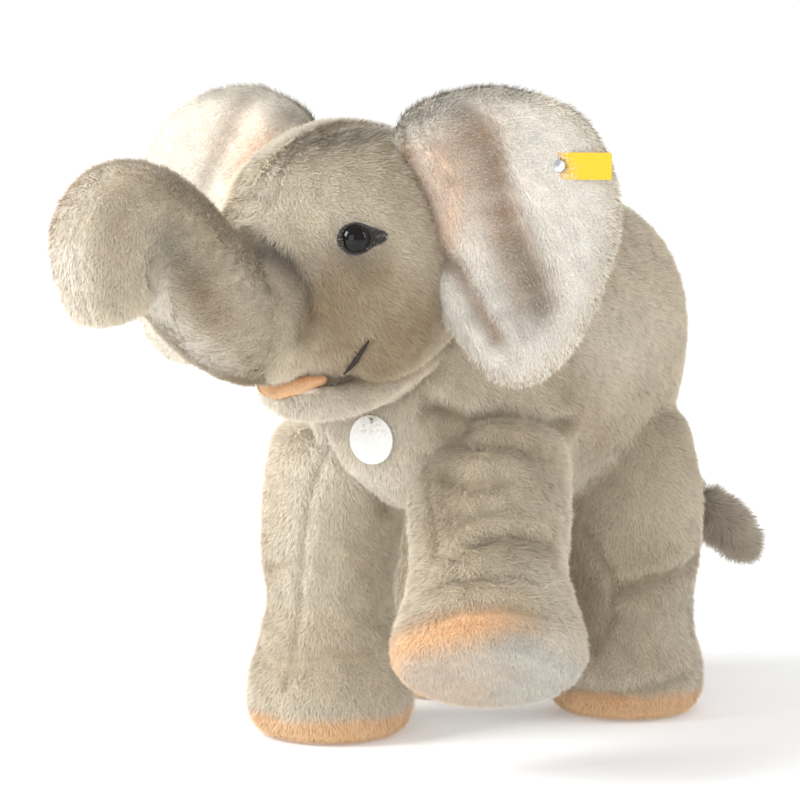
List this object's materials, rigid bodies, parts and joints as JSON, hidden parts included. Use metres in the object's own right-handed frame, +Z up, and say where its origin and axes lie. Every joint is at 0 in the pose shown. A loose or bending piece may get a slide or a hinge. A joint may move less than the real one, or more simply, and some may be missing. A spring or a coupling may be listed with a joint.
{
  "type": "stuffed elephant",
  "caption": "Sewn plush elephant calf with raised curling trunk, large ears and one lifted fore leg, standing on its other feet",
  "frame": {"origin": "centre of the bounding box, on the floor under the feet", "axes": "+Z up, the elephant faces -Y, its left side is +X"},
  "size_m": [0.3616, 0.6214, 0.425],
  "materials": {
    "grey_plush": "beige-grey plush, short pile with airbrushed shading",
    "cream_plush": "cream plush, short pile",
    "peach_plush": "peach plush, short pile",
    "pale_ear_plush": "off-white plush with brown airbrushing",
    "long_pile_plush": "grey-brown long pile",
    "polyester_stuffing": "white fibre filling",
    "black_felt": "black felt",
    "dark_thread": "embroidery thread",
    "eye_gloss": "polished black plastic",
    "nylon": "natural nylon",
    "white_card": "coated white card, plain",
    "yellow_ribbon": "woven yellow ribbon, plain",
    "button_steel": "nickel-plated steel"
  },
  "bodies": {
    "torso": {"body_side_left": "grey_plush", "body_side_right": "grey_plush", "chest_panel": "cream_plush", "belly_panel": "cream_plush", "rump_panel": "grey_plush", "body_stuffing": "polyester_stuffing", "tag_fastener": "nylon"},
    "head": {"head_side_left": "grey_plush", "head_side_right": "grey_plush", "crown_strip": "grey_plush", "nape_panel": "grey_plush", "chin_panel": "cream_plush", "head_stuffing": "polyester_stuffing", "mouth_lining": "peach_plush", "mouth_stitch_left": "dark_thread", "mouth_stitch_right": "dark_thread", "eye_left": "eye_gloss", "eye_right": "eye_gloss", "eye_patch_left": "black_felt", "eye_patch_right": "black_felt", "eye_washer_left": "nylon", "eye_washer_right": "nylon"},
    "trunk": {"trunk_cover": "grey_plush", "trunk_strip": "cream_plush", "trunk_stuffing": "polyester_stuffing"},
    "trunk_end": {"trunk_end_cover": "grey_plush", "trunk_end_strip": "cream_plush", "trunk_end_stuffing": "polyester_stuffing"},
    "ear_left": {"ear_front_left": "pale_ear_plush", "ear_back_left": "grey_plush", "ear_button": "button_steel", "ear_button_washer": "button_steel"},
    "ear_right": {"ear_front_right": "pale_ear_plush", "ear_back_right": "grey_plush"},
    "flag": {"ear_flag": "yellow_ribbon"},
    "tail": {"tail_cover": "grey_plush", "tail_core": "polyester_stuffing", "tail_tuft": "long_pile_plush"},
    "tag": {"chest_tag": "white_card"},
    "leg_fore_right": {"fore_right_leg_outer": "grey_plush", "fore_right_leg_inner": "cream_plush", "fore_right_leg_stuffing": "polyester_stuffing", "fore_right_sole": "peach_plush"},
    "leg_fore_left": {"fore_left_leg_outer": "grey_plush", "fore_left_leg_inner": "cream_plush", "fore_left_leg_stuffing": "polyester_stuffing", "fore_left_sole": "peach_plush"},
    "leg_hind_right": {"hind_right_leg_outer": "grey_plush", "hind_right_leg_inner": "cream_plush", "hind_right_leg_stuffing": "polyester_stuffing", "hind_right_sole": "peach_plush"},
    "leg_hind_left": {"hind_left_leg_outer": "grey_plush", "hind_left_leg_inner": "cream_plush", "hind_left_leg_stuffing": "polyester_stuffing", "hind_left_sole": "peach_plush"}
  },
  "joints": [
    {"name": "head_nod", "type": "hinge", "parent": "torso", "child": "head", "pos_m": [0.01172, -0.05844, 0.29], "axis": [0.9511, -0.309, 0], "range_deg": [-8, 3]},
    {"name": "trunk_lift", "type": "hinge", "parent": "head", "child": "trunk", "pos_m": [-0.01424, -0.13833, 0.291], "axis": [0.9511, -0.309, 0], "range_deg": [-10, 4]},
    {"name": "trunk_curl", "type": "hinge", "parent": "trunk", "child": "trunk_end", "pos_m": [-0.04978, -0.2477, 0.347], "axis": [0.9511, -0.309, 0], "range_deg": [-10, 10]},
    {"name": "ear_left_flap", "type": "hinge", "parent": "head", "child": "ear_left", "pos_m": [0.04738, -0.11208, 0.34], "axis": [-0.3124, 0.0688, 0.9474], "range_deg": [-18, 18]},
    {"name": "ear_right_flap", "type": "hinge", "parent": "head", "child": "ear_right", "pos_m": [-0.04867, -0.08087, 0.34], "axis": [0.2932, -0.1279, 0.9474], "range_deg": [-18, 18]},
    {"name": "flag_turn", "type": "hinge", "parent": "ear_left", "child": "flag", "pos_m": [0.14909, -0.11165, 0.378], "axis": [0.1219, -0.9925, 0], "range_deg": [-15, 15]},
    {"name": "tag_swing", "type": "hinge", "parent": "torso", "child": "tag", "pos_m": [0.01172, -0.09944, 0.2171], "axis": [1, 0, 0], "range_deg": [-12, 4]},
    {"name": "tail_swing", "type": "hinge", "parent": "torso", "child": "tail", "pos_m": [0.01172, 0.20156, 0.216], "axis": [0, 0, 1], "range_deg": [-18, 18]},
    {"name": "fore_right_leg_flex", "type": "hinge", "parent": "torso", "child": "leg_fore_right", "pos_m": [-0.05128, -0.03644, 0.186], "axis": [1, 0, 0], "range_deg": [-9, 9]},
    {"name": "fore_left_leg_flex", "type": "hinge", "parent": "torso", "child": "leg_fore_left", "pos_m": [0.06972, -0.04244, 0.186], "axis": [1, 0, 0], "range_deg": [-9, 9]},
    {"name": "hind_right_leg_flex", "type": "hinge", "parent": "torso", "child": "leg_hind_right", "pos_m": [-0.05128, 0.12556, 0.186], "axis": [1, 0, 0], "range_deg": [-9, 9]},
    {"name": "hind_left_leg_flex", "type": "hinge", "parent": "torso", "child": "leg_hind_left", "pos_m": [0.07472, 0.12556, 0.186], "axis": [1, 0, 0], "range_deg": [-9, 9]}
  ]
}
